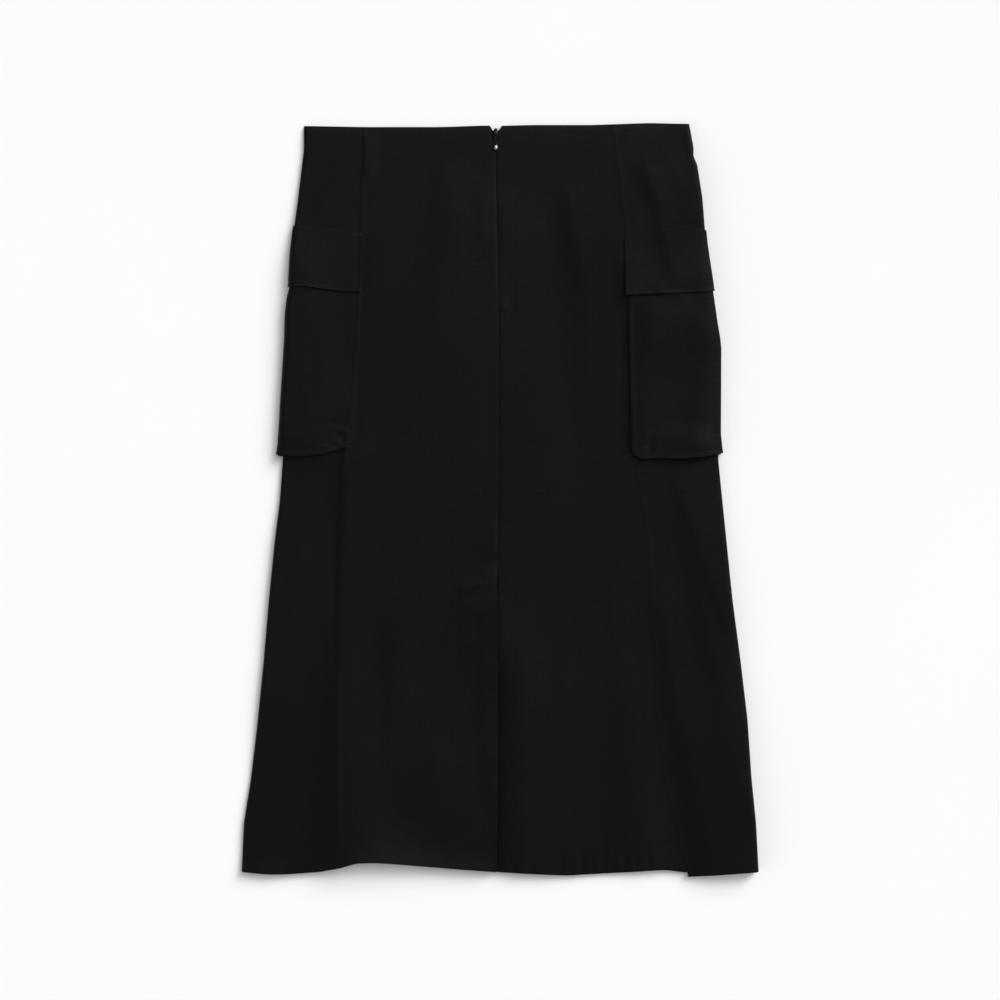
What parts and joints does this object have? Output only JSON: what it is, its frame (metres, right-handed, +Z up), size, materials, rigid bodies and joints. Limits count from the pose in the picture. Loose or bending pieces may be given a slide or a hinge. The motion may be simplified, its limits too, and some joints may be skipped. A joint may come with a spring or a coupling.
{
  "type": "cargo utility skirt",
  "caption": "Flat-laid black ripstop midi skirt, back up, with flapped bellows pockets round the side folds, an invisible zip with a swinging pull, and a hem vent.",
  "frame": {"origin": "on the surface that the skirt lies on, under the middle of its outline", "axes": "+Y from the hem towards the waist, +Z up out of the back, +X towards the right of the picture"},
  "size_m": [0.516, 0.7538, 0.0137],
  "materials": {
    "ripstop": "matt ripstop weave",
    "pocket_cloth": "matt ripstop weave",
    "zip_tape": "matt woven tape",
    "zip_metal": "gloss black enamel"
  },
  "bodies": {
    "skirt": {"front_panel": "ripstop", "back_panel_left": "ripstop", "back_panel_right": "ripstop", "side_panel_left": "ripstop", "side_panel_right": "ripstop", "pocket_face_left": "pocket_cloth", "pocket_face_right": "pocket_cloth", "pocket_gusset_left": "pocket_cloth", "pocket_gusset_right": "pocket_cloth", "pocket_flap_left": "pocket_cloth", "pocket_flap_right": "pocket_cloth", "zip_tape": "zip_tape", "zip_slider": "zip_metal"},
    "pull": {"zip_pull": "zip_metal"}
  },
  "joints": [
    {"name": "pull_swing", "type": "hinge", "parent": "skirt", "child": "pull", "pos_m": [-0.0042, 0.36598, 0.0055], "axis": [-1, 0, 0], "range_deg": [0, 165]}
  ]
}
